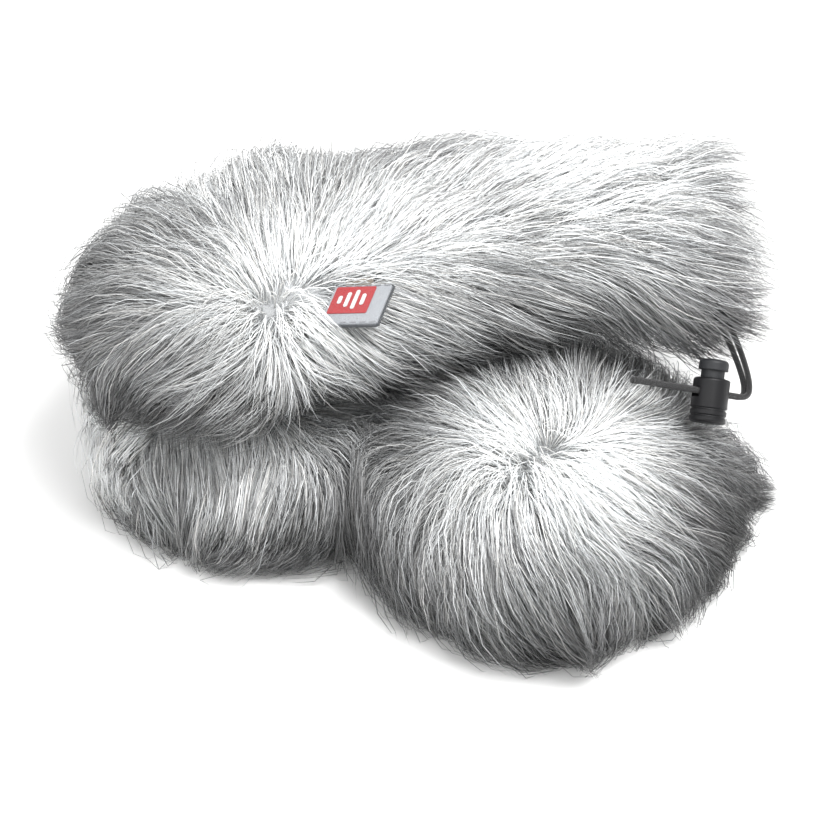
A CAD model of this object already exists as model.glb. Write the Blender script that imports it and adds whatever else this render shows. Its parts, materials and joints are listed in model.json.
import json
import math

import bpy
import numpy as np
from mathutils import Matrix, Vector, kdtree, noise
from mathutils.bvhtree import BVHTree


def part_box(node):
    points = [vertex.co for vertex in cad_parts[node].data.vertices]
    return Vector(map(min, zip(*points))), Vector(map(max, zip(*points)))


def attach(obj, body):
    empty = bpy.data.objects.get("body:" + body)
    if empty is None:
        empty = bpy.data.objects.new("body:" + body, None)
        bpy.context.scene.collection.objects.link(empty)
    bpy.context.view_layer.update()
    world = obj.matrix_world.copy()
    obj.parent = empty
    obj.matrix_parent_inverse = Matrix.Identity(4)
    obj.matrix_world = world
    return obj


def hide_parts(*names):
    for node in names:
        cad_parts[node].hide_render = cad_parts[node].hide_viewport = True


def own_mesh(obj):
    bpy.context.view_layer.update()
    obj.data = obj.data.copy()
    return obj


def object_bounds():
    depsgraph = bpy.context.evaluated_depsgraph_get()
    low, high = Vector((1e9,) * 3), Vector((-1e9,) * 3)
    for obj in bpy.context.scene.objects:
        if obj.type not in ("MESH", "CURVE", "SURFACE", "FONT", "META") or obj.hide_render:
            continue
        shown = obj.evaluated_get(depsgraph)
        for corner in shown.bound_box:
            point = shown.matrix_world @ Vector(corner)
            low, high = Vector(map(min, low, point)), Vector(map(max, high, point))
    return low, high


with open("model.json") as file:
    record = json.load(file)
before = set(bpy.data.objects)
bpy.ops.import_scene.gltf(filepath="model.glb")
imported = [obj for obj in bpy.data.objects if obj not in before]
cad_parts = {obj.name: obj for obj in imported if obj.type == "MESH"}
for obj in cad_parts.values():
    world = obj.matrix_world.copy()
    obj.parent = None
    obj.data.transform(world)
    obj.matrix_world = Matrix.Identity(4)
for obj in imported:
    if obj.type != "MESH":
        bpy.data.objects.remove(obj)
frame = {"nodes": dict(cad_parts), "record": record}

MM = 0.001
rng = np.random.default_rng(41)
cad_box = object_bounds()

# ------------------------------------------------------------------ settings
RINGS = 96                    # rings along a fur skin
SIDES = 120                   # points round a ring
SEGMENTS = 5                  # bends in a strand
STRANDS_PER_PIECE = 6800      # keeps each fur piece well under 200,000 triangles
STRAND_COUNT = {"nose": 70000, "mouth": 62000, "fold": 14000}
CLUMPS_PER_STRAND = 0.035
CLUMP_STRENGTH = 0.76
STRAND_LENGTH = 46 * MM
STRAND_WIDTH = 0.21 * MM      # radius at the thickest
FUR_INSET = 13 * MM           # skin below the outer face of the CAD fur
FLOOR_GAP = 0.4 * MM
SAG = 0.22                    # how much the tips droop
LIFT_SHARES = (1.0, 0.62, 0.30, 0.08, -0.06)      # how much a strand still rises at each bend
TAPER = (0.75, 1.0, 0.95, 0.75, 0.45, 0.0)        # strand thickness from root to tip
USUAL_LIFT = 0.95             # radians that a root stands up from the skin
PRESSED_LIFT = 0.30           # share of that where another layer presses
GUIDE_MESS = 0.17             # unevenness of the clumps
STRAND_MESS = 0.10            # unevenness inside a clump
PARTING_REACH = 9 * MM        # hair is messier this near to a parting
BOX_ALLOWANCE = (0.03, 9.2 * MM)     # share of the part's size, and length, that fur may stand out
SKIN_CLEARANCE = 1 * MM       # joints of a strand stay this far above the skin
ON_FLOOR_SHARE = 0.3          # how much of each further bend a strand keeps on the floor
FOLD_HEIGHT = 0.064           # height of the fold line
LUMP_SPACING = 28             # how close together the lumps of the stuffing are
LUMP_SHARE = 0.35
LEAST_SHARE = 0.38            # share of its reach that a skin always keeps
CLUMP_CURVE = 1.1
CLUMP_RANGE = (0.35, 1.0)
# what is measured, then the value that it gives
DARK_BY_DISTANCE = ((0.012, 0.035, 0.075), (0.10, 0.60, 0.97))
DARK_BY_SLOPE = ((-0.2, 0.6), (0.2, 0.0))
TONE_BY_SLOPE = ((-0.3, 0.75), (0.62, 1.0))
TONE_BY_HEIGHT = ((0.004, 0.040), (0.72, 1.0))
CREASE_DARKENS = 0.6
PALE_LIGHTENS = 0.88
DARK_SPREAD = (0.45, 0.95)
TONE_SPREAD = (0.84, 1.08)
TONE_LIMITS = (0.05, 1.25)
WIDTH_SPREAD = (0.5, 1.25)
FOLD_TURN_X = -0.100          # the knitted sleeve turns round this line
FOLD_TURN_RADIUS = 0.031
TUFT_END_X = -0.110           # the pale tuft at the fold
TUFT_Z = 0.046
TUFT_HALF_HEIGHT = 0.022

END_RINGS = 30                # rings that round off the fold end of each half
END_REACH = 0.050             # how far the fold end stands out past the halves

# Partings that the fur lies away from: start, end, weight
NOSE_PARTINGS = (
    (Vector((0.046, -0.052, 0.068)), Vector((0.078, -0.036, 0.070)), 1.0),
    (Vector((-0.105, 0.010, 0.066)), Vector((-0.070, 0.012, 0.066)), 0.8),
)
MOUTH_PARTINGS = (
    (Vector((-0.058, -0.013, 0.116)), Vector((-0.046, -0.002, 0.121)), 1.0),
)
FOLD_PARTINGS = ((Vector((-0.10, 0.02, 0.10)), Vector((-0.10, 0.03, 0.10)), 1.0),)
# Places where the fur was brushed by hand: place, reach, direction, weight
NOSE_STROKES = (
    (Vector((-0.020, -0.045, 0.035)), 0.028, Vector((0.35, -0.6, -0.8)), 0.7),
)
MOUTH_STROKES = (
    (Vector((0.020, 0.080, 0.120)), 0.050, Vector((0.75, 0.65, 0.1)), 1.2),
    (Vector((0.085, 0.050, 0.120)), 0.045, Vector((0.95, 0.10, -0.1)), 1.3),
    (Vector((0.110, 0.030, 0.095)), 0.034, Vector((0.55, -0.45, -0.85)), 1.8),
    (Vector((0.040, 0.010, 0.090)), 0.035, Vector((0.85, -0.20, -0.5)), 1.0),
    (Vector((-0.072, 0.082, 0.098)), 0.044, Vector((-0.20, 0.85, 0.70)), 1.9),
)
FOLD_STROKES = (
    (Vector((-0.135, 0.0, 0.050)), 0.080, Vector((-0.90, -0.25, -0.45)), 2.5),
)
# Places that lie in a crease or under the body, where the hair looks dark: place, reach, depth
CREASES = (
    (Vector((0.080, 0.006, 0.084)), 0.024, 0.34),
    (Vector((0.032, -0.004, 0.076)), 0.024, 0.30),
    (Vector((-0.003, -0.024, 0.068)), 0.030, 0.46),
    (Vector((-0.100, -0.048, 0.076)), 0.034, 0.62),
    (Vector((-0.132, -0.010, 0.092)), 0.040, 0.30),
    (Vector((-0.022, -0.052, 0.030)), 0.026, 0.58),
    (Vector((0.138, -0.060, 0.032)), 0.046, 0.78),
    (Vector((0.012, -0.062, 0.035)), 0.026, 0.42),
    (Vector((0.060, -0.105, 0.012)), 0.050, 0.40),
    (Vector((-0.070, -0.050, 0.008)), 0.034, 0.32),
    (Vector((0.125, 0.020, 0.070)), 0.026, 0.45),
)
# Places where the pale undersides of the hair show: place, reach, strength
PALE_PLACES = (
    (Vector((0.066, -0.046, 0.072)), 0.046, 1.0),
    (Vector((-0.045, 0.000, 0.122)), 0.036, 0.65),
    (Vector((0.070, 0.070, 0.126)), 0.062, 0.95),
    (Vector((0.010, 0.040, 0.126)), 0.050, 0.7),
    (Vector((-0.075, -0.050, 0.048)), 0.028, 0.45),
    (Vector((-0.080, 0.080, 0.115)), 0.044, 0.75),
)
LOCK_CENTRE = Vector((0.131, -0.008, 0.068))
LOCK_AXIS = Vector((0.132, 0.650, 0.749))
SPRING_FOOT = -11.5 * MM      # inside floor of the lock, along its axis
SPRING_WIRE = 0.35 * MM       # radius
SPRING_RADIUS = 3.6 * MM
SPRING_RISE = 6.1 * MM
UNDERCOAT_SWELL = 8 * MM      # most that the padded sleeve may swell
NOSE_PADDING_START = 4 * MM   # how much smaller the nose half is before it swells
CLOTH_PRESSURE = 1.2
CLOTH_FRAMES = 20
CLOTH_VOXEL = 5 * MM
NOSE_END_RISE = 0.012         # the fold end of each half leans towards the other half
MOUTH_END_RISE = -0.010
FOLD_INSET = 1.45 * FUR_INSET
BADGE_NORMAL = Vector((-0.322, -0.117, 0.940))
BADGE_CLEAR = 13.5 * MM       # no strand crosses the badge nearer than this to its middle
LOCK_CLEAR = 8.6 * MM         # no strand comes nearer than this to the lock's axis
HEM_MIDDLE = Vector((0.111, 0.062, 0.095))
HEM_REACH = (28.6 * MM, 5.1 * MM)    # half width and half height of the hem's middle line
HEM_THICK = 2.3 * MM
HEM_DEPTH = 7.0 * MM
PLEATS = 34


# ----------------------------------------------------------------- fur skins
def tree_of(*names):
    """Search tree over the meshes of some CAD nodes."""
    points, faces = [], []
    for name in names:
        mesh = frame["nodes"][name].data
        start = len(points)
        points += [v.co.copy() for v in mesh.vertices]
        faces += [[start + i for i in p.vertices] for p in mesh.polygons]
    return BVHTree.FromPolygons(points, faces)


def outer_skin(names, x_start, x_end, height):
    """Rings of points on the outside of CAD fur, found by looking in from all round.
    Returns the points and the middle of each ring."""
    tree = tree_of(*names)
    grid = np.zeros((RINGS, SIDES, 3))
    middles = np.zeros((RINGS, 3))
    angles = np.linspace(0, 2 * math.pi, SIDES, endpoint=False)
    far = 0.4
    for i, share in enumerate(np.linspace(0, 1, RINGS)):
        x = x_start + (x_end - x_start) * share
        front = tree.ray_cast(Vector((x, -far, height)), Vector((0, 1, 0)))[0]
        back = tree.ray_cast(Vector((x, far, height)), Vector((0, -1, 0)))[0]
        middle = Vector((x, (front.y + back.y) / 2, height))
        half_width = max((back.y - front.y) / 2, 0.004)
        middles[i] = middle
        for j, angle in enumerate(angles):
            way = Vector((0, half_width * math.cos(angle), 0.030 * math.sin(angle))).normalized()
            hit = tree.ray_cast(middle + way * far, -way)[0]
            grid[i, j] = hit if hit else middle
    return grid, middles


def smooth_rings(grid, passes):
    """Evens out nests and notches by averaging each point with its neighbours."""
    for _ in range(passes):
        along = grid.copy()
        along[1:-1] = (grid[:-2] + 2 * grid[1:-1] + grid[2:]) / 4
        grid = (np.roll(along, 1, 1) + 2 * along + np.roll(along, -1, 1)) / 4
    return grid


def shrink(grid, middles, inset):
    """Moves a skin in towards its middle line and makes it lumpy, as stuffed fabric is."""
    reach = grid - middles[:, None, :]
    length = np.linalg.norm(reach, axis=2, keepdims=True)
    lumps = np.array([[noise.noise(Vector(p) * LUMP_SPACING) for p in ring] for ring in grid])[..., None]
    new_length = np.maximum(length - inset * (1 + LUMP_SHARE * lumps), length * LEAST_SHARE)
    return middles[:, None, :] + reach * new_length / np.maximum(length, 1e-6)


def ring_normals(grid):
    """Outward normal at each point of a skin."""
    along = np.gradient(grid, axis=0)
    across = (np.roll(grid, -1, 1) - np.roll(grid, 1, 1)) / 2
    normal = np.cross(across, along)
    normal /= np.maximum(np.linalg.norm(normal, axis=2, keepdims=True), 1e-9)
    return normal


def new_object(name, points, faces):
    """Smooth mesh object from points and faces."""
    mesh = bpy.data.meshes.new(name)
    mesh.from_pydata([tuple(p) for p in points], [], faces)
    mesh.shade_smooth()
    made = bpy.data.objects.new(name, mesh)
    bpy.context.scene.collection.objects.link(made)
    return made


def skin_object(name, grid):
    """Closed mesh through the rings of a skin."""
    rings, sides = grid.shape[:2]
    points = [tuple(p) for p in grid.reshape(-1, 3)]
    points += [tuple(grid[0].mean(0)), tuple(grid[-1].mean(0))]
    faces = []
    for i in range(rings - 1):
        for j in range(sides):
            k = (j + 1) % sides
            faces.append((i * sides + j, i * sides + k, (i + 1) * sides + k, (i + 1) * sides + j))
    for j in range(sides):
        k = (j + 1) % sides
        faces.append((rings * sides, k, j))
        faces.append((rings * sides + 1, (rings - 1) * sides + j, (rings - 1) * sides + k))
    return new_object(name, points, faces)


def rounded_end(grid, middles, lean):
    """Adds rings that close the fold end of a half like the end of a pillow.
    lean is how far the end rises to meet the other half."""
    first = grid[0] - middles[0]
    rings, centres = [], []
    for share in np.sin(np.linspace(math.pi / 2, 0, END_RINGS, endpoint=False)):
        size = math.sqrt(1 - (share * 0.998) ** 2)
        centre = middles[0] + np.array([-END_REACH * share, 0, lean * share])
        ring = centre + first * np.array([0, size ** 0.8, size])
        rings.append(ring)
        centres.append(centre)
    return np.concatenate([rings, grid]), np.concatenate([centres, middles])


# ------------------------------------------------------------------- strands
def unit(v):
    """Vectors scaled to length 1."""
    return v / np.maximum(np.linalg.norm(v, axis=-1, keepdims=True), 1e-9)


def scatter(grid, normals, count, density):
    """Roots spread over a skin, thinned where density(point, normal) is low."""
    a, b = grid[:-1], grid[1:]
    across = np.roll(a, -1, 1) - a
    area = np.linalg.norm(np.cross(across, b - a), axis=2)
    middle = (a + b) / 2
    weight = (area * density(middle, normals[:-1])).ravel()
    pick = rng.choice(weight.size, count, p=weight / weight.sum())
    i, j = pick // grid.shape[1], pick % grid.shape[1]
    k = (j + 1) % grid.shape[1]
    u, v = rng.random((2, count, 1))

    def mix(values):
        low = values[i, j] * (1 - v) + values[i, k] * v
        high = values[i + 1, j] * (1 - v) + values[i + 1, k] * v
        return low * (1 - u) + high * u

    return mix(grid), unit(mix(normals))


def away_from(points, start, end):
    """Vector to each point from the nearest place on a parting."""
    start, end = np.array(start), np.array(end)
    line = end - start
    share = np.clip(((points - start) @ line) / (line @ line), 0, 1)
    return points - (start + share[:, None] * line)


def from_parting(points, partings):
    """Distance to the nearest parting."""
    return np.min([np.linalg.norm(away_from(points, start, end), axis=1)
                   for start, end, weight in partings], axis=0)


def drift(points):
    """Slow wander in the lie of the fur."""
    waves = np.array([[130, 60, 20], [-50, 140, 70], [40, -90, 150]])
    fine = np.sin(points @ waves.T + np.array([0.4, 2.1, 4.0]))
    broad = np.sin(points @ waves.T * 0.45 + np.array([3.3, 1.2, 5.0]))
    return 0.18 * fine + 0.25 * broad


def comb(points, normals, partings, strokes, swirl):
    """Direction that the fur lies in, along the skin."""
    flow = np.zeros_like(points)
    for start, end, weight in partings:
        away = away_from(points, start, end)
        distance = np.linalg.norm(away, axis=1, keepdims=True)
        turn = np.cross(normals, away)
        flow += weight * (away + swirl * turn) / (distance ** 3 + 1e-5)
    flow = unit(flow) + drift(points)
    for place, reach, way, weight in strokes:
        distance = np.linalg.norm(points - np.array(place), axis=1, keepdims=True)
        flow += weight * np.exp(-(distance / reach) ** 2) * np.array(way.normalized())
    flow -= normals * (flow * normals).sum(1, keepdims=True)
    return unit(flow)


def grow(roots, root_normals, skin, skin_normals, way, lengths, lift, unruly):
    """Bends each strand over the skin step by step. Returns (strand, joint, xyz)."""
    tree = kdtree.KDTree(len(skin))
    for i, point in enumerate(skin):
        tree.insert(point, i)
    tree.balance()
    count = len(roots)
    path = np.zeros((count, SEGMENTS + 1, 3))
    path[:, 0] = roots
    here, normal = roots.copy(), root_normals.copy()
    wobble = rng.normal(0, 1, (count, 3)) * unruly[:, None]
    for step in range(SEGMENTS):
        flow = way(here, normal)
        angle = (lift * LIFT_SHARES[step])[:, None]
        heading = flow * np.cos(angle) + normal * np.sin(angle) + wobble
        heading[:, 2] -= SAG * (step + 1) / SEGMENTS
        heading = unit(heading)
        here = here + heading * (lengths / SEGMENTS)[:, None]
        grounded = here[:, 2] < FLOOR_GAP * (1 + step)
        lengths = np.where(grounded, lengths * ON_FLOOR_SHARE, lengths)
        here[:, 2] = np.maximum(here[:, 2], FLOOR_GAP * (1 + step))
        near = np.array([tree.find(p)[1] for p in here])
        normal = skin_normals[near]
        under = ((here - skin[near]) * normal).sum(1, keepdims=True)
        here += normal * np.maximum(SKIN_CLEARANCE - under, 0)
        path[:, step + 1] = here
    return path


def clump(path, guides, strength):
    """Draws strands together towards the nearest guide strand, most at the tips."""
    tree = kdtree.KDTree(len(guides))
    for i, guide in enumerate(guides):
        tree.insert(guide[0], i)
    tree.balance()
    near = np.array([tree.find(p)[1] for p in path[:, 0]])
    pull = strength * np.linspace(0, 1, SEGMENTS + 1)[None, :, None] ** CLUMP_CURVE
    pull = pull * rng.uniform(*CLUMP_RANGE, (len(path), 1, 1))
    return path * (1 - pull) + guides[near] * pull


def strand_mesh(name, path, width, tone, dark, warm):
    """Closed three-sided tapering strands in one mesh."""
    count, joints = path.shape[:2]
    along = np.gradient(path, axis=1)
    along = unit(along)
    side = unit(np.cross(along, np.array([0.31, 0.22, 0.92])))
    other = np.cross(along, side)
    share = np.linspace(0, 1, joints)
    taper = np.array(TAPER)
    points = []
    for corner in range(3):
        angle = 2 * math.pi * corner / 3
        offset = side * math.cos(angle) + other * math.sin(angle)
        points.append(path + offset * (width[:, None] * taper)[..., None])
    body = np.stack(points, axis=2)[:, :-1]                  # strand, joint, corner, xyz
    tips = path[:, -1:, None, :]
    per = 3 * (joints - 1) + 1
    verts = np.concatenate([body.reshape(count, -1, 3), tips.reshape(count, 1, 3)], axis=1)
    tris = [(0, 2, 1)]
    for j in range(joints - 2):
        for c in range(3):
            d = (c + 1) % 3
            low, high = 3 * j, 3 * (j + 1)
            tris += [(low + c, low + d, high + d), (low + c, high + d, high + c)]
    last = 3 * (joints - 2)
    tris += [(last + c, last + (c + 1) % 3, per - 1) for c in range(3)]
    tris = np.array(tris)
    faces = (tris[None] + (np.arange(count) * per)[:, None, None]).reshape(-1, 3)
    mesh = bpy.data.meshes.new(name)
    mesh.vertices.add(count * per)
    mesh.vertices.foreach_set("co", verts.astype(np.float32).ravel())
    mesh.loops.add(faces.size)
    mesh.loops.foreach_set("vertex_index", faces.astype(np.int32).ravel())
    mesh.polygons.add(len(faces))
    mesh.polygons.foreach_set("loop_start", np.arange(0, faces.size, 3, dtype=np.int32))
    mesh.polygons.foreach_set("use_smooth", np.ones(len(faces), bool))
    mesh.update(calc_edges=True)
    rise = np.append(np.repeat(share[:-1], 3), 1.0)
    values = {
        "along": np.tile(rise, count),
        "tone": np.repeat(tone, per),
        "dark_tip": np.repeat(dark, per),
        "warm": np.repeat(warm, per),
    }
    for label, data in values.items():
        attribute = mesh.attributes.new(label, "FLOAT", "POINT")
        attribute.data.foreach_set("value", data.astype(np.float32))
    lay_out_strands(mesh, count, per, rise, faces)
    made = bpy.data.objects.new(name, mesh)
    bpy.context.scene.collection.objects.link(made)
    return made


def lay_out_strands(mesh, count, per, rise, faces):
    """Gives every strand its own upright cell in the picture that its colour is baked to."""
    columns = math.ceil(math.sqrt(count * 2))
    rows = math.ceil(count / columns)
    index = np.arange(count)
    column, row = index % columns, index // columns
    across = np.append(np.tile([0.25, 0.5, 0.75], (per - 1) // 3), 0.5)
    u = (column[:, None] + across[None]) / columns
    v = (row[:, None] + 0.1 + 0.8 * rise[None]) / rows
    spots = np.stack([u, v], axis=2).reshape(-1, 2)
    layer = mesh.uv_layers.new(name="OFBake")
    layer.data.foreach_set("uv", spots[faces.ravel()].astype(np.float32).ravel())


# ----------------------------------------------------------------- materials
def principled(name, color, roughness):
    """Plain material and its shader node."""
    material = bpy.data.materials.new(name)
    material.use_nodes = True
    shader = material.node_tree.nodes["Principled BSDF"]
    shader.inputs["Base Color"].default_value = (*color, 1)
    shader.inputs["Roughness"].default_value = roughness
    return material, shader


def attribute_node(nodes, name):
    """Output of a node that reads a per-strand value."""
    node = nodes.new("ShaderNodeAttribute")
    node.attribute_name = name
    return node.outputs["Fac"]


def ramp_node(material, source, stops):
    """Colour ramp fed by source. stops are (place, colour)."""
    ramp = material.node_tree.nodes.new("ShaderNodeValToRGB")
    while len(ramp.color_ramp.elements) < len(stops):
        ramp.color_ramp.elements.new(0.5)
    for element, (place, color) in zip(ramp.color_ramp.elements, stops):
        element.position = place
        element.color = (*color, 1)
    material.node_tree.links.new(source, ramp.inputs["Fac"])
    return ramp.outputs["Color"]


def mix_node(material, kind, share, first, second):
    """Mixes two colours. share, first and second may be sockets or values."""
    mix = material.node_tree.nodes.new("ShaderNodeMix")
    mix.data_type = "RGBA"
    mix.blend_type = kind
    for socket, value in ((mix.inputs[0], share), (mix.inputs[6], first), (mix.inputs[7], second)):
        if isinstance(value, bpy.types.NodeSocket):
            material.node_tree.links.new(value, socket)
        elif isinstance(value, tuple):
            socket.default_value = (*value, 1)
        else:
            socket.default_value = value
    return mix.outputs[2]


def add_bump(material, shader, height, strength, distance):
    """Fine relief in the surface."""
    bump = material.node_tree.nodes.new("ShaderNodeBump")
    bump.inputs["Strength"].default_value = strength
    bump.inputs["Distance"].default_value = distance
    material.node_tree.links.new(height, bump.inputs["Height"])
    material.node_tree.links.new(bump.outputs["Normal"], shader.inputs["Normal"])


def fur_material():
    """White-rooted guard hair, some of it ending in grey and some in near black."""
    material, shader = principled("fur_grey", (0.6, 0.6, 0.6), 0.5)
    nodes = material.node_tree.nodes
    along = attribute_node(nodes, "along")
    tone = attribute_node(nodes, "tone")
    dark = attribute_node(nodes, "dark_tip")
    pale = ramp_node(material, along, (
        (0.0, (0.80, 0.82, 0.83)), (0.4, (0.92, 0.94, 0.95)), (1.0, (0.64, 0.66, 0.675))))
    grey = ramp_node(material, along, (
        (0.0, (0.62, 0.64, 0.65)), (0.28, (0.62, 0.64, 0.65)), (0.50, (0.13, 0.13, 0.137)),
        (1.0, (0.022, 0.021, 0.021))))
    hair = mix_node(material, "MIX", dark, pale, grey)
    warm = attribute_node(nodes, "warm")
    warmed = mix_node(material, "MULTIPLY", warm, hair, (0.985, 0.95, 0.91))
    toned = mix_node(material, "MULTIPLY", 1.0, warmed, tone)
    material.node_tree.links.new(toned, shader.inputs["Base Color"])
    shader.inputs["Specular IOR Level"].default_value = 0.25
    return material


def under_material():
    """Dense short undercoat, seen only between the strands."""
    material, shader = principled("fur_undercoat", (0.5, 0.5, 0.5), 0.95)
    fluff = material.node_tree.nodes.new("ShaderNodeTexNoise")
    fluff.inputs["Scale"].default_value = 420
    fluff.inputs["Detail"].default_value = 6
    color = ramp_node(material, fluff.outputs["Fac"], (
        (0.3, (0.34, 0.35, 0.36)), (0.7, (0.62, 0.63, 0.64))))
    material.node_tree.links.new(color, shader.inputs["Base Color"])
    add_bump(material, shader, fluff.outputs["Fac"], 0.6, 0.8 * MM)
    return material


# --------------------------------------------------------------- fur build-up
def split_and_add(label, body, path, width, tone, dark, warm, replaced):
    """Cuts a coat of strands into pieces of a workable size that ride on a body."""
    pieces = max(1, math.ceil(len(path) / STRANDS_PER_PIECE))
    order = np.argsort(path[:, 0, 0] + 0.35 * path[:, 0, 1])
    made = []
    for number, chosen in enumerate(np.array_split(order, pieces), 1):
        piece = strand_mesh(f"{label}_{number:02d}", path[chosen], width[chosen],
                            tone[chosen], dark[chosen], warm[chosen])
        piece.data.materials.append(FUR)
        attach(piece, body)
        made.append(piece)
    if replaced:
        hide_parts(*replaced)
    return made


def fit_in_box(path):
    """Shortens strands that would stand too far outside the CAD part."""
    low, high = np.array(cad_box[0]), np.array(cad_box[1])
    share, length = BOX_ALLOWANCE
    margin = share * (high - low) + length
    reach = path - path[:, :1]
    room = np.where(reach > 0, high + margin - path[:, :1], path[:, :1] - low + margin)
    fits = np.clip((room / np.maximum(np.abs(reach), 1e-9)).min(axis=(1, 2)), 0, 1)
    return path[:, :1] + reach * fits[:, None, None]


def make_skin(outer, middles, inset, closes_low, closes_high, lean=None):
    """Skin that the fur grows on, inside the outer face of the CAD fur."""
    grid = smooth_rings(outer, 6)
    if lean is not None:
        grid, middles = rounded_end(grid, middles, lean)
    grid = shrink(grid, middles, inset)
    span = middles[-1, 0] - middles[0, 0]
    low = inset if closes_low else 0
    high = inset if closes_high else 0
    share = (grid[..., 0] - middles[0, 0]) / span
    grid[..., 0] = middles[0, 0] + low + share * (span - low - high)
    return smooth_rings(grid, 2)


def pinch_fold(grid, middles):
    """Carries the crease between the two layers round the front and back of the fold."""
    rise = (grid[..., 2] - FOLD_HEIGHT) / 0.012
    squeeze = 1 - 0.22 * np.exp(-rise ** 2)
    middle = middles[:, None, 1]
    grid[..., 1] = middle + (grid[..., 1] - middle) * squeeze
    return grid


def on_floor(points, normals):
    """1 where the underside of the lower half is pressed on the floor."""
    return ((normals[..., 2] < -0.75) & (points[..., 2] < 0.030)).astype(float)


def covered_nose(points, normals):
    """1 where the mouth half presses on the top of the nose half, or the floor on its underside."""
    x, y = points[..., 0], points[..., 1]
    edge = np.interp(x, [-0.1, -0.02, 0.06, 0.12], [-0.035, -0.010, 0.022, 0.020])
    top = (normals[..., 2] > 0) & (y > edge) & (x < 0.118)
    below = (normals[..., 2] < -0.75)
    return (top | below).astype(float)


def covered_mouth(points, normals):
    """1 where the mouth half rests on the nose half."""
    return (normals[..., 2] < -0.55).astype(float)


def covered_fold(points, normals):
    """1 on the underside of the fold."""
    return (normals[..., 2] < -0.75).astype(float)


def coat(skin, count, partings, strokes, covered, length_of, swirl, lift_of):
    """Grows a whole coat on a skin. Returns the strands' paths, roots and root normals."""
    normals = ring_normals(skin)
    roots, root_normals = scatter(
        skin, normals, count, lambda p, n: 1 - 0.45 * on_floor(p, n))
    flat_skin, flat_normals = skin.reshape(-1, 3), normals.reshape(-1, 3)

    def way(points, normal):
        return comb(points, normal, partings, strokes, swirl)

    def settings(points, normal, spread):
        pressed = covered(points, normal)
        lengths = length_of(points, normal) * rng.uniform(1 - spread, 1 + spread, len(points))
        lift = rng.normal(USUAL_LIFT, spread, len(points)) * (1 - (1 - PRESSED_LIFT) * pressed)
        return lengths, lift * lift_of(points, normal)

    def mess(points, usual):
        near = from_parting(points, partings)
        return usual * (1 + 2 * np.exp(-(near / PARTING_REACH) ** 2))

    chosen = rng.choice(count, int(count * CLUMPS_PER_STRAND), replace=False)
    lengths, lift = settings(roots[chosen], root_normals[chosen], 0.25)
    guides = grow(roots[chosen], root_normals[chosen], flat_skin, flat_normals,
                  way, lengths, lift, mess(roots[chosen], GUIDE_MESS))
    lengths, lift = settings(roots, root_normals, 0.28)
    path = grow(roots, root_normals, flat_skin, flat_normals, way, lengths, lift, mess(roots, STRAND_MESS))
    path = fit_in_box(clump(path, guides, CLUMP_STRENGTH))
    return path, roots, root_normals


def near_line(path, start, end, reach):
    """True for strands that come within reach of a straight line."""
    start, end = np.array(start), np.array(end)
    line = end - start
    share = np.clip(((path - start) @ line) / (line @ line), 0, 1)
    gap = np.linalg.norm(path - (start + share[..., None] * line), axis=2)
    return (gap < reach).any(1)


def middle_of(node):
    """Middle of a CAD node."""
    low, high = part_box(node)
    return (low + high) / 2


def clear_of_fittings(path):
    """Leaves out the strands that would run through the badge or the cord lock."""
    lock = middle_of("cord_lock_barrel")
    button = middle_of("cord_lock_plunger")
    axis = (button - lock).normalized()
    keep = ~near_line(path, lock - axis * 0.006, button + axis * 0.006, LOCK_CLEAR)
    badge = middle_of("badge_patch")
    normal = np.array(BADGE_NORMAL.normalized())
    reach = path - np.array(badge)
    height = reach @ normal
    flat = np.linalg.norm(reach - height[..., None] * normal, axis=2)
    keep &= ~((flat < BADGE_CLEAR) & (height > -1 * MM)).any(1)
    return keep


def zone_tone(roots, normals):
    """Brightness of the hair by place: darker on steep sides, low down and in the creases."""
    tone = np.interp(normals[:, 2], *TONE_BY_SLOPE)
    return tone * np.interp(roots[:, 2], *TONE_BY_HEIGHT)


def nearness(points, places):
    """How deep each point lies in the nearest of some soft-edged places."""
    depth = np.zeros(len(points))
    for place, reach, strength in places:
        distance = np.linalg.norm(points - np.array(place), axis=1)
        depth = np.maximum(depth, strength * np.exp(-(distance / reach) ** 2))
    return depth


def add_coat(label, body, path, roots, normals, partings, replaced, pale=0.0):
    """Colours a coat by place and adds its pieces to a body. pale is 1 for all-pale hair."""
    keep = clear_of_fittings(path)
    path, roots, normals = path[keep], roots[keep], normals[keep]
    near = from_parting(roots, partings)
    dark_share = np.interp(near, *DARK_BY_DISTANCE)
    dark_share += np.interp(normals[:, 2], *DARK_BY_SLOPE)
    crease = nearness(path[:, 2], CREASES)
    bright = nearness(path[:, 2], PALE_PLACES)
    dark_share = (dark_share + CREASE_DARKENS * crease) * (1 - PALE_LIGHTENS * bright) * (1 - pale)
    count = len(path)
    dark = (rng.random(count) < dark_share).astype(float) * rng.uniform(*DARK_SPREAD, count)
    tone = zone_tone(roots, normals) * (1 - crease) * (1 - pale) + 1.10 * pale
    tone = tone + bright * 0.40
    tone = np.clip(tone * rng.uniform(*TONE_SPREAD, count), *TONE_LIMITS)
    warm = rng.random(count) ** 2
    width = STRAND_WIDTH * rng.uniform(*WIDTH_SPREAD, count)
    return split_and_add(label, body, path, width, tone, dark, warm, replaced)


def plain_length(points, normals):
    """Strand length at the fold."""
    return np.full(len(points), STRAND_LENGTH * 1.1)


def nose_length(points, normals):
    """Strand length on the nose half, longer on its underside."""
    return STRAND_LENGTH * np.interp(normals[:, 2], [-0.2, 0.6], [1.15, 1.0])


def ramp_over(values, low, high):
    """0 up to low, 1 from high, and even in between."""
    return np.clip((values - low) / (high - low), 0, 1)


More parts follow.
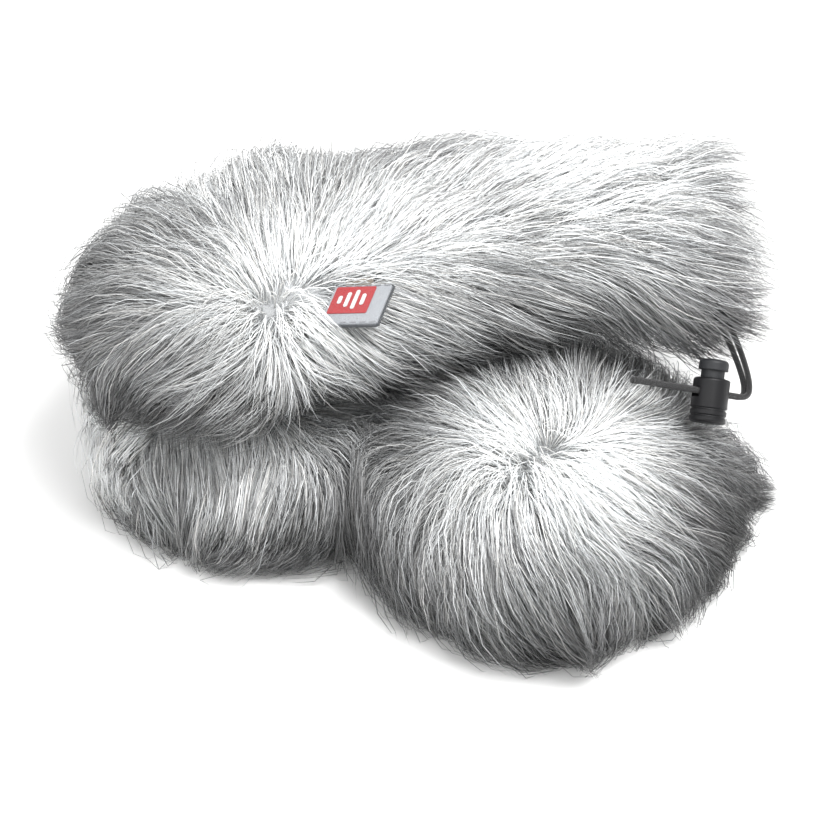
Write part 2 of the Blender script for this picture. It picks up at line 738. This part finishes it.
def mouth_length(points, normals):
    """Strand length on the mouth half, longer at the back left and where it hangs."""
    back_left = ramp_over(points[:, 1], 0.040, 0.070) * ramp_over(-points[:, 0], 0.035, 0.060)
    hanging = ramp_over(points[:, 0], 0.085, 0.108)
    return STRAND_LENGTH * (1.05 + 0.35 * back_left + 0.28 * hanging)


def plain_lift(points, normals):
    """Usual lift everywhere."""
    return np.full(len(points), 1.0)


def mouth_lift(points, normals):
    """More lift along the back of the mouth half."""
    return 1 + 0.45 * ramp_over(points[:, 1], 0.06, 0.09)


def outline(x, half_width, half_height):
    """Ring with the flattened sleeve's outline, matching the points of a fur skin's rings."""
    angles = np.linspace(0, 2 * math.pi, SIDES, endpoint=False)
    ring = np.zeros((1, SIDES, 3))
    ring[0, :, 0] = x
    ring[0, :, 1] = HEM_MIDDLE.y + half_width * np.sign(np.cos(angles)) * abs(np.cos(angles)) ** 0.7
    ring[0, :, 2] = HEM_MIDDLE.z + half_height * np.sign(np.sin(angles)) * abs(np.sin(angles)) ** 0.7
    return ring


def open_mouth(grid):
    """Turns the mouth end of a skin inwards, past the hem and along the sleeve."""
    lip = 0.5 * (grid[-1:] + outline(0.114, 0.034, 0.0095))
    return np.concatenate([
        grid, lip, outline(0.113, 0.0325, 0.0086), outline(0.101, 0.0325, 0.0086),
        outline(0.100, 0.0290, 0.0058), outline(0.040, 0.0290, 0.0058)])


def no_part(points):
    """Holds no point still."""
    return np.zeros(len(points), bool)


def mouth_opening(points):
    """The tunnel round the hem and sleeve, which keeps its shape."""
    inside = abs(points[:, 1] - HEM_MIDDLE.y) < 0.038
    inside &= (abs(points[:, 2] - HEM_MIDDLE.z) < 0.012) & (points[:, 0] > 0.030)
    return inside | (points[:, 0] > 0.098)


def swell(piece, most, held):
    """Pads a closed cloth piece by simulation. No point moves further than most,
    and the points that held picks don't move."""
    mesh = piece.data
    remesh = piece.modifiers.new("remesh", "REMESH")
    remesh.mode = "VOXEL"
    remesh.voxel_size = CLOTH_VOXEL
    apply_modifiers(piece)
    before = np.array([v.co for v in piece.data.vertices])
    cloth = piece.modifiers.new("cloth", "CLOTH")
    cloth.settings.use_pressure = True
    cloth.settings.uniform_pressure_force = CLOTH_PRESSURE
    cloth.settings.effector_weights.gravity = 0
    cloth.point_cache.frame_start, cloth.point_cache.frame_end = 1, CLOTH_FRAMES
    for number in range(1, CLOTH_FRAMES + 1):
        bpy.context.scene.frame_set(number)
    apply_modifiers(piece)
    bpy.context.scene.frame_set(1)
    after = np.array([v.co for v in piece.data.vertices])
    move = after - before
    length = np.linalg.norm(move, axis=1, keepdims=True)
    move[held(before)] = 0
    after = before + move * np.minimum(1, most / np.maximum(length, 1e-9))
    after[:, 2] = np.maximum(after[:, 2], FLOOR_GAP)
    for vertex, place in zip(piece.data.vertices, after):
        vertex.co = place
    piece.modifiers.new("smoother", "SUBSURF").levels = 1
    apply_modifiers(piece)
    piece.data.shade_smooth()
    bpy.data.meshes.remove(mesh)


def apply_modifiers(piece):
    """Makes the result of the modifiers the piece's own mesh."""
    graph = bpy.context.evaluated_depsgraph_get()
    result = bpy.data.meshes.new_from_object(piece.evaluated_get(graph))
    piece.modifiers.clear()
    piece.data = result


def knitted_fold():
    """Sleeve of knitted backing that turns round the fold, with small gathers on its inside."""
    steps, sides = 60, 72
    around = np.linspace(0, 2 * math.pi, sides, endpoint=False)
    middle, wide, tall, wall = 0.024, 0.042, 0.005, 0.0016
    arc = np.linspace(0, math.pi, steps)
    loops = []
    for inset in (0.0, wall):
        across = (wide - inset) * np.sign(np.cos(around)) * abs(np.cos(around)) ** 0.6
        height = (tall - inset) * np.sign(np.sin(around)) * abs(np.sin(around)) ** 0.6
        gather = 0.0004 * np.sin(26 * arc)[:, None] * (np.sin(around) > 0)[None]
        radius = FOLD_TURN_RADIUS - height[None] + gather
        loop = np.zeros((steps, sides, 3))
        loop[..., 0] = FOLD_TURN_X - radius * np.sin(arc)[:, None]
        loop[..., 1] = middle + across[None]
        loop[..., 2] = FOLD_HEIGHT - radius * np.cos(arc)[:, None]
        loops.append(loop)
    points = np.concatenate(loops).reshape(-1, 3)
    faces = []
    for shell, flip in ((0, True), (steps * sides, False)):
        for i in range(steps - 1):
            for j in range(sides):
                k = (j + 1) % sides
                face = [shell + i * sides + j, shell + i * sides + k,
                        shell + (i + 1) * sides + k, shell + (i + 1) * sides + j]
                faces.append(tuple(reversed(face)) if flip else tuple(face))
    for ring, flip in ((0, False), (steps - 1, True)):
        for j in range(sides):
            k = (j + 1) % sides
            outer, inner = ring * sides, steps * sides + ring * sides
            face = [outer + j, outer + k, inner + k, inner + j]
            faces.append(tuple(reversed(face)) if flip else tuple(face))
    return new_object("knitted_fold", points, faces)


def flatten_with_fold(piece, node):
    """The cloth in the fold crumples flat as the two halves open."""
    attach(piece, "nose_half")
    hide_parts(node)
    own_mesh(piece)


# ------------------------------------------------------------------- the hem
def gathered_hem():
    """Turned-over cloth hem, drawn up in pleats by the cord that runs in it."""
    turns, steps = 12 * PLEATS, 24
    around = np.linspace(0, 2 * math.pi, turns, endpoint=False)
    section = np.linspace(0, 2 * math.pi, steps, endpoint=False)
    wide, tall = HEM_REACH
    middle = np.stack([wide * np.sign(np.cos(around)) * abs(np.cos(around)) ** 0.75,
                       tall * np.sign(np.sin(around)) * abs(np.sin(around)) ** 0.75], axis=1)
    outward = unit(np.stack([np.cos(around) / wide, np.sin(around) / tall], axis=1))
    pleat = np.sin(PLEATS * around + 0.9 * np.sin(5 * around))[:, None]
    across = np.sign(np.cos(section)) * abs(np.cos(section)) ** 0.5
    depth = HEM_DEPTH * np.sign(np.sin(section)) * abs(np.sin(section)) ** 0.5
    stitched = 1 - 0.30 * np.exp(-((depth + 3.4 * MM) / (0.7 * MM)) ** 2)
    free = np.interp(depth, [-HEM_DEPTH, HEM_DEPTH], [0.15, 1.0])
    thick = HEM_THICK * (across * stitched)[None] + 0.75 * MM * pleat * free[None]
    points = np.zeros((turns, steps, 3))
    points[..., 0] = HEM_MIDDLE.x + depth[None] + 0.35 * MM * pleat * free[None]
    points[..., 1] = HEM_MIDDLE.y + middle[:, None, 0] + outward[:, None, 0] * thick
    points[..., 2] = HEM_MIDDLE.z + middle[:, None, 1] + outward[:, None, 1] * thick
    faces = []
    for i in range(turns):
        k = (i + 1) % turns
        for j in range(steps):
            n = (j + 1) % steps
            faces.append((i * steps + j, k * steps + j, k * steps + n, i * steps + n))
    return new_object("gathered_hem", points.reshape(-1, 3), faces)


# ---------------------------------------------------------------- the spring
def coil_spring():
    """Wound spring with closed flat ends, seated in the bottom of the cord lock."""
    turns, joints, corners = 5.0, 220, 12
    axis = LOCK_AXIS.normalized()
    right = axis.orthogonal().normalized()
    other = axis.cross(right)
    foot = LOCK_CENTRE + axis * (SPRING_FOOT + SPRING_WIRE + 0.05 * MM)
    points, faces = [], []
    for joint in range(joints):
        share = joint / (joints - 1)
        rise = np.interp(share, [0, 0.14, 0.86, 1], [0, 0.05, 0.95, 1]) * SPRING_RISE
        angle = 2 * math.pi * turns * share
        out = right * math.cos(angle) + other * math.sin(angle)
        middle = foot + out * SPRING_RADIUS + axis * rise
        for corner in range(corners):
            turn = 2 * math.pi * corner / corners
            points.append(middle + (out * math.cos(turn) + axis * math.sin(turn)) * SPRING_WIRE)
    for joint in range(joints - 1):
        for corner in range(corners):
            k = (corner + 1) % corners
            low, high = joint * corners, (joint + 1) * corners
            faces.append((low + corner, high + corner, high + k, low + k))
    faces.append(tuple(range(corners)))
    faces.append(tuple((joints - 1) * corners + corner for corner in reversed(range(corners))))
    return new_object("coil_spring", points, faces)


# ------------------------------------------------------------- other finishes
def wave_node(nodes, direction, spacing):
    """Output of a node of slightly uneven stripes."""
    wave = nodes.new("ShaderNodeTexWave")
    wave.bands_direction = direction
    wave.inputs["Scale"].default_value = spacing
    wave.inputs["Distortion"].default_value = 1.2
    wave.inputs["Detail"].default_value = 1
    return wave.outputs["Fac"]


def woven(name, color, threads, roughness, relief):
    """Woven cloth: threads that cross, each lit and coloured a little differently."""
    material, shader = principled(name, color, roughness)
    nodes = material.node_tree.nodes
    darker = tuple(c * 0.5 for c in color)
    lighter = tuple(min(1, c * 1.35) for c in color)
    weave = mix_node(material, "MULTIPLY", 1.0, wave_node(nodes, "X", threads),
                     wave_node(nodes, "DIAGONAL", threads))
    speck = nodes.new("ShaderNodeTexNoise")
    speck.inputs["Scale"].default_value = threads * 2.5
    speck.inputs["Detail"].default_value = 4
    mixed = mix_node(material, "MIX", 0.5, weave, speck.outputs["Fac"])
    shade = ramp_node(material, mixed, ((0.25, darker), (0.6, lighter)))
    material.node_tree.links.new(shade, shader.inputs["Base Color"])
    add_bump(material, shader, mixed, 0.8, relief)
    shader.inputs["Sheen Weight"].default_value = 0.25
    return material


def moulded(name, color, roughness):
    """Fine spark-eroded plastic with rubbed, paler patches."""
    material, shader = principled(name, color, roughness)
    nodes = material.node_tree.nodes
    grain = nodes.new("ShaderNodeTexNoise")
    grain.inputs["Scale"].default_value = 3500
    wear = nodes.new("ShaderNodeTexNoise")
    wear.inputs["Scale"].default_value = 220
    wear.inputs["Detail"].default_value = 5
    shade = ramp_node(material, wear.outputs["Fac"], (
        (0.45, color), (0.75, tuple(c * 1.9 for c in color))))
    material.node_tree.links.new(shade, shader.inputs["Base Color"])
    add_bump(material, shader, grain.outputs["Fac"], 0.35, 0.08 * MM)
    shader.inputs["Specular IOR Level"].default_value = 0.32
    return material


def drawn_wire(name):
    """Spring wire with fine drawing lines and a little tarnish."""
    material, shader = principled(name, (0.55, 0.55, 0.56), 0.3)
    nodes = material.node_tree.nodes
    shader.inputs["Metallic"].default_value = 1
    lines = wave_node(nodes, "Z", 2200)
    tarnish = nodes.new("ShaderNodeTexNoise")
    tarnish.inputs["Scale"].default_value = 600
    shade = ramp_node(material, tarnish.outputs["Fac"], (
        (0.35, (0.36, 0.35, 0.34)), (0.6, (0.60, 0.60, 0.61))))
    material.node_tree.links.new(shade, shader.inputs["Base Color"])
    add_bump(material, shader, lines, 0.3, 0.03 * MM)
    return material


FUR = fur_material()
UNDER = under_material()
# slot: colour, threads per metre, roughness, depth of the weave
WOVEN = {
    "knit_backing": ((0.16, 0.165, 0.17), 420, 0.95, 0.5 * MM),
    "binding_tape": ((0.08, 0.08, 0.085), 900, 0.9, 0.2 * MM),
    "hem_fabric": ((0.030, 0.030, 0.033), 800, 0.85, 0.25 * MM),
    "elastic_cord": ((0.010, 0.010, 0.011), 900, 0.75, 0.3 * MM),
    "badge_edging": ((0.030, 0.038, 0.048), 1400, 0.8, 0.2 * MM),
    "badge_silver": ((0.40, 0.42, 0.45), 1400, 0.45, 0.1 * MM),
    "badge_red": ((0.44, 0.008, 0.014), 1400, 0.55, 0.1 * MM),
    "badge_white": ((0.78, 0.78, 0.77), 1400, 0.6, 0.1 * MM),
    "badge_thread": ((0.34, 0.35, 0.37), 1400, 0.7, 0.1 * MM),
    "tab_fabric": ((0.40, 0.35, 0.29), 1000, 0.85, 0.2 * MM),
    "hook_and_loop": ((0.018, 0.018, 0.020), 1100, 0.95, 0.6 * MM),
    "label_satin": ((0.74, 0.74, 0.72), 1600, 0.35, 0.05 * MM),
}
FINISHES = {slot: woven(slot, *look) for slot, look in WOVEN.items()}
FINISHES["lock_plastic"] = moulded("lock_plastic", (0.007, 0.007, 0.008), 0.42)
FINISHES["button_plastic"] = moulded("button_plastic", (0.020, 0.021, 0.023), 0.46)
FINISHES["spring_steel"] = drawn_wire("spring_steel")
FINISHES["fur_grey"] = UNDER


# ------------------------------------------------------------- build the fur
nose_outer, nose_middles = outer_skin(
    ("nose_barrel_pile", "nose_dome_pile"), -0.098, 0.1495, 0.015)
mouth_outer, mouth_middles = outer_skin(("mouth_barrel_pile",), -0.098, 0.113, 0.096)
fold_outer, fold_middles = outer_skin(("fold_pile",), -0.149, -0.101, FOLD_HEIGHT)
nose_skin = make_skin(nose_outer, nose_middles, FUR_INSET, True, True, NOSE_END_RISE)
mouth_skin = make_skin(mouth_outer, mouth_middles, FUR_INSET, True, False, MOUTH_END_RISE)
fold_skin = pinch_fold(
    make_skin(fold_outer, fold_middles, FOLD_INSET, True, False), fold_middles)

scale = 1.0
nose = coat(nose_skin, int(STRAND_COUNT["nose"] * scale), NOSE_PARTINGS, NOSE_STROKES,
            covered_nose, nose_length, 0.25, plain_lift)
mouth = coat(mouth_skin, int(STRAND_COUNT["mouth"] * scale), MOUTH_PARTINGS, MOUTH_STROKES,
             covered_mouth, mouth_length, 0.0, mouth_lift)
fold = coat(fold_skin, int(STRAND_COUNT["fold"] * scale), FOLD_PARTINGS, FOLD_STROKES,
            covered_fold, plain_length, 0.0, plain_lift)

add_coat("nose_fur", "nose_half", *nose, NOSE_PARTINGS, ("nose_barrel_pile", "nose_dome_pile"))
add_coat("mouth_fur", "mouth_half", *mouth, MOUTH_PARTINGS, ("mouth_barrel_pile",))
# only a band of the fold carries its own hair: the pale tuft at the far left
chosen = (fold[1][:, 0] < TUFT_END_X) & (abs(fold[1][:, 2] - TUFT_Z) < TUFT_HALF_HEIGHT)
add_coat("fold_fur", "nose_half", *(part[chosen] for part in fold), FOLD_PARTINGS, (), 1.0)

nose_start = nose_skin
nose_start = make_skin(nose_outer, nose_middles, FUR_INSET + NOSE_PADDING_START,
                       True, True, NOSE_END_RISE)
for label, grid, body, held in (
        ("nose_undercoat", nose_start, "nose_half", no_part),
        ("mouth_undercoat", open_mouth(mouth_skin), "mouth_half", mouth_opening)):
    under = skin_object(label, grid)
    swell(under, UNDERCOAT_SWELL, held)
    under.data.materials.append(UNDER)
    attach(under, body)

under = skin_object("fold_undercoat", fold_skin)
under.data.materials.append(UNDER)
flatten_with_fold(under, "fold_pile")

# ------------------------------------------------------------ build the rest
sleeve = knitted_fold()
sleeve.data.materials.append(FINISHES["knit_backing"])
flatten_with_fold(sleeve, "fold_backing")

spring = coil_spring()
spring.data.materials.append(FINISHES["spring_steel"])
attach(spring, "cord_lock")
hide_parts("cord_lock_spring")
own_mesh(spring)

hem = gathered_hem()
hem.data.materials.append(FINISHES["hem_fabric"])
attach(hem, "mouth_half")
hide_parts("mouth_hem")

slots = {entry["node"]: entry["material_slot"] for entry in frame["record"]["subparts"]}
for name, node in frame["nodes"].items():
    node.data.materials.clear()
    node.data.materials.append(FINISHES[slots[name]])

# ------------------------------------------------------------- floor and light
floor_mesh = bpy.data.meshes.new("floor")
floor_mesh.from_pydata([(-6, -6, 0), (6, -6, 0), (6, 6, 0), (-6, 6, 0)], [], [(0, 1, 2, 3)])
floor = bpy.data.objects.new("floor", floor_mesh)
bpy.context.scene.collection.objects.link(floor)
paper, _ = principled("paper", (0.93, 0.93, 0.925), 0.9)
floor_mesh.materials.append(paper)


def soft_light(name, place, aim, size, power):
    """Square lamp that points at aim."""
    data = bpy.data.lights.new(name, "AREA")
    data.size, data.energy = size, power
    lamp = bpy.data.objects.new(name, data)
    lamp.location = place
    lamp.rotation_mode = "QUATERNION"
    lamp.rotation_quaternion = (Vector(aim) - Vector(place)).to_track_quat("-Z", "Y")
    bpy.context.scene.collection.objects.link(lamp)


# name, place, size, power
for name, place, size, power in (
        ("key_light", (0.35, -0.25, 1.1), 0.60, 16),
        ("fill_light", (-0.9, -0.9, 0.7), 0.9, 6),
        ("back_light", (-0.3, 1.1, 0.7), 1.0, 6)):
    soft_light(name, place, (0, 0, 0.05), size, power)

world = bpy.data.worlds.new("studio")
world.use_nodes = True
world.node_tree.nodes["Background"].inputs["Color"].default_value = (1, 1, 1, 1)
world.node_tree.nodes["Background"].inputs["Strength"].default_value = 0.70
scene = bpy.context.scene
scene.world = world
scene.view_settings.view_transform = "Standard"
scene.view_settings.look = "None"

CAMERA_LIFT = math.radians(38)
CAMERA_LENS = 85              # millimetres
CAMERA_DISTANCE = 0.86
camera_data = bpy.data.cameras.new("camera")
camera_data.lens = CAMERA_LENS
camera = bpy.data.objects.new("camera", camera_data)
scene.collection.objects.link(camera)
aim = Vector((0.0, 0.0, 0.052))
camera.location = aim + CAMERA_DISTANCE * Vector((0, -math.cos(CAMERA_LIFT), math.sin(CAMERA_LIFT)))
camera.rotation_mode = "QUATERNION"
camera.rotation_quaternion = (aim - camera.location).to_track_quat("-Z", "Y")
scene.camera = camera
